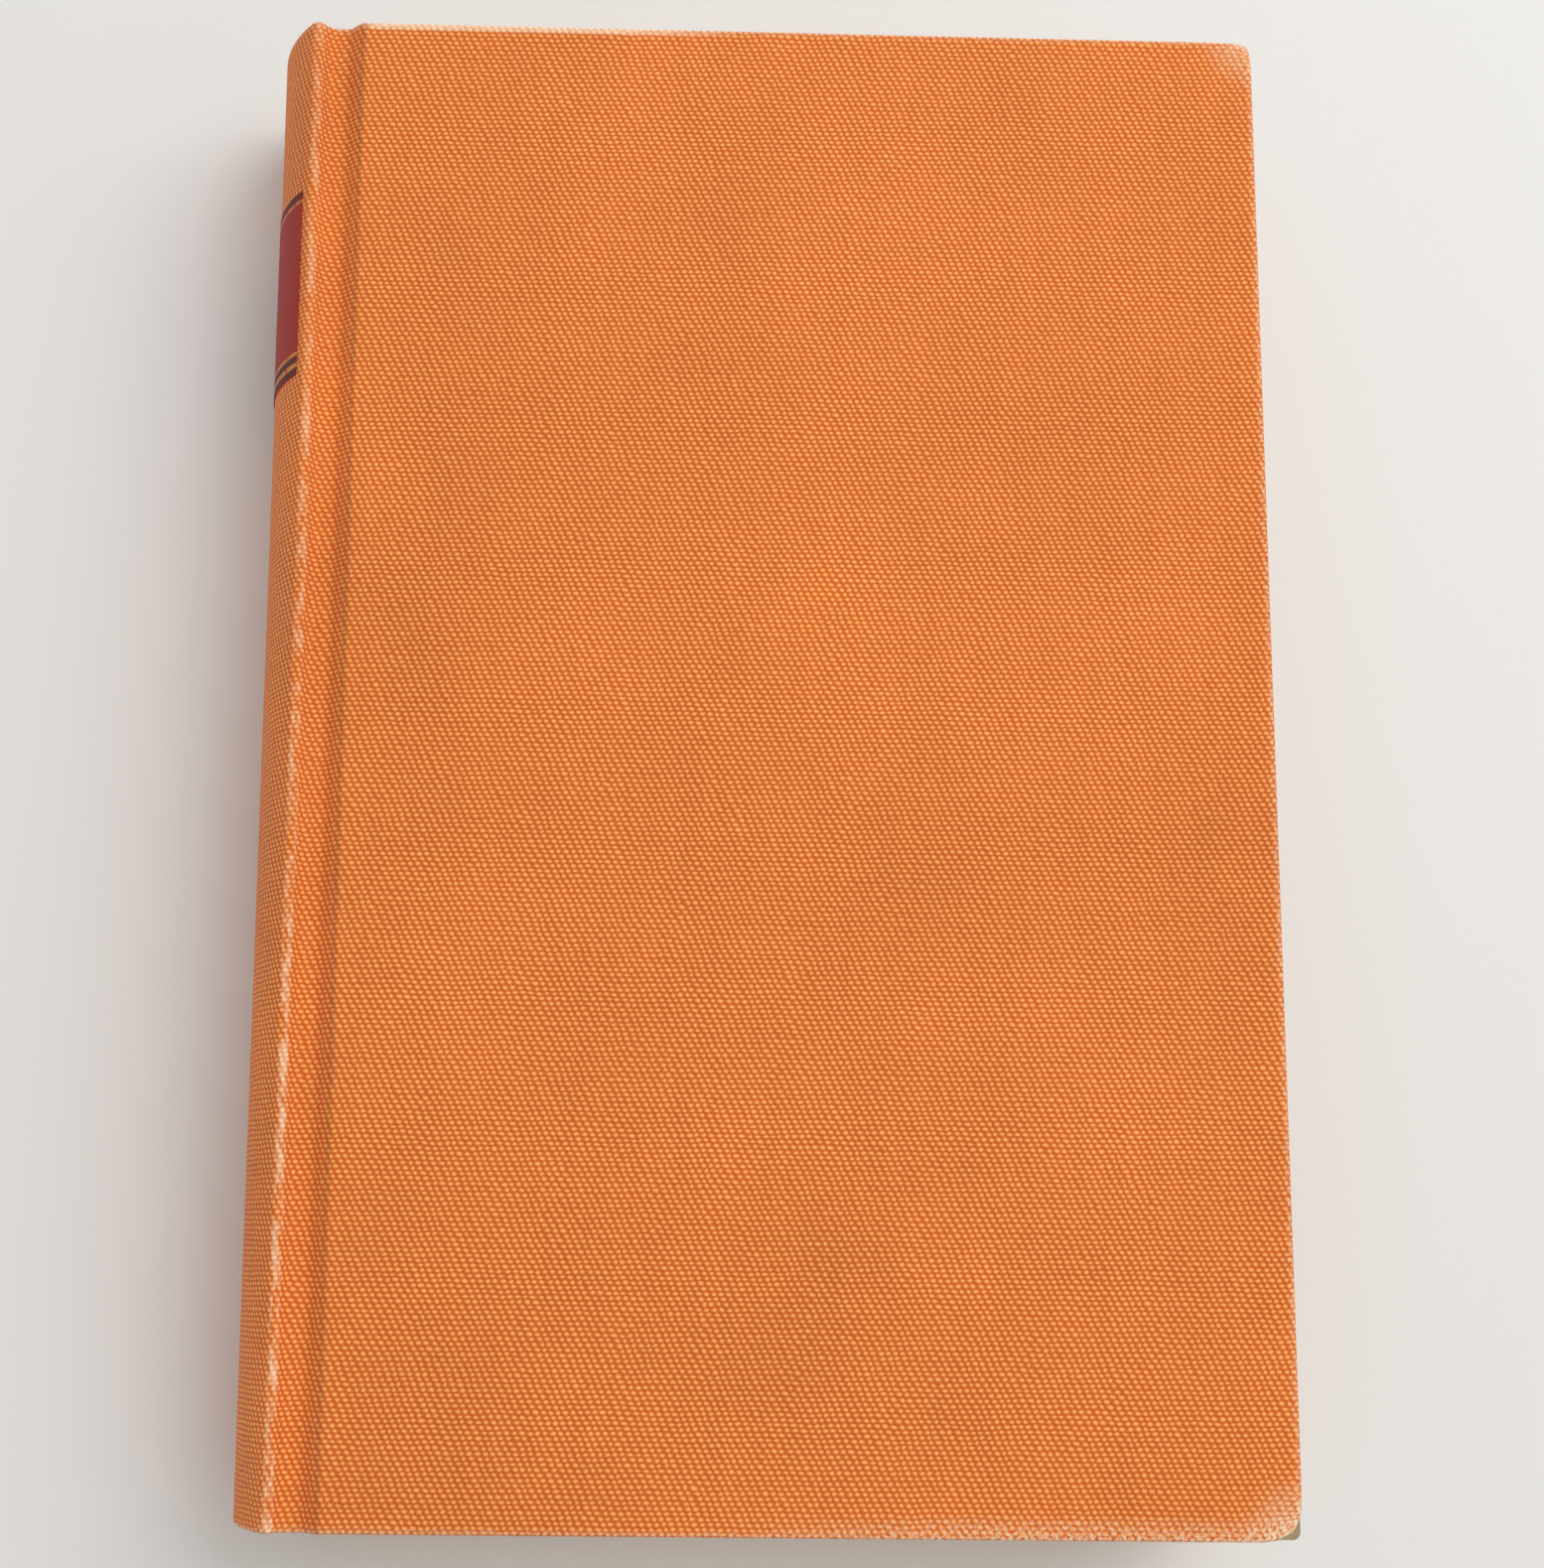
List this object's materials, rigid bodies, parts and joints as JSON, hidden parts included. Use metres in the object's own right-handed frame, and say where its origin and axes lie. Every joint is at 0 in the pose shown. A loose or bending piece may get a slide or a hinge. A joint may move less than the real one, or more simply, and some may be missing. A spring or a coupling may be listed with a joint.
{
  "type": "hardback book",
  "caption": "Closed hardback book cased in coarse woven cloth, with a rounded spine, a plain spine label, sunk joint grooves and covers that open.",
  "frame": {"origin": "centre of the closed book's outline, on the surface that its rear cover lies on", "axes": "+X from the spine to the fore edge, +Y from the tail to the head along the spine, +Z from the rear cover to the front cover"},
  "size_m": [0.1486, 0.222, 0.032],
  "materials": {
    "case_cloth": "woven, matt, slightly worn",
    "label_leather": "smooth, satin, with gilt rules",
    "page_paper": "matt, toned with age",
    "endpaper": "matt",
    "kraft_paper": "matt",
    "millboard": "matt grey-brown board",
    "mull_gauze": "open gauze",
    "headband_silk": "woven bead, soft sheen"
  },
  "bodies": {
    "book_block": {"text_block": "page_paper", "front_flyleaf": "endpaper", "rear_flyleaf": "endpaper", "mull": "mull_gauze", "spine_lining": "kraft_paper", "headband": "headband_silk", "tailband": "headband_silk", "spine_inlay": "millboard", "spine_cloth": "case_cloth", "spine_label": "label_leather"},
    "front_cover": {"front_board": "millboard", "front_cover_cloth": "case_cloth", "front_pastedown": "endpaper", "front_mull_flange": "mull_gauze"},
    "rear_cover": {"rear_board": "millboard", "rear_cover_cloth": "case_cloth", "rear_pastedown": "endpaper", "rear_mull_flange": "mull_gauze"}
  },
  "joints": [
    {"name": "front_cover_hinge", "type": "hinge", "parent": "book_block", "child": "front_cover", "pos_m": [-0.06907, 0, 0.03025], "axis": [0, -1, 0], "range_deg": [0, 180]},
    {"name": "rear_cover_hinge", "type": "hinge", "parent": "book_block", "child": "rear_cover", "pos_m": [-0.06907, 0, 0.00175], "axis": [0, 1, 0], "range_deg": [0, 180]}
  ]
}
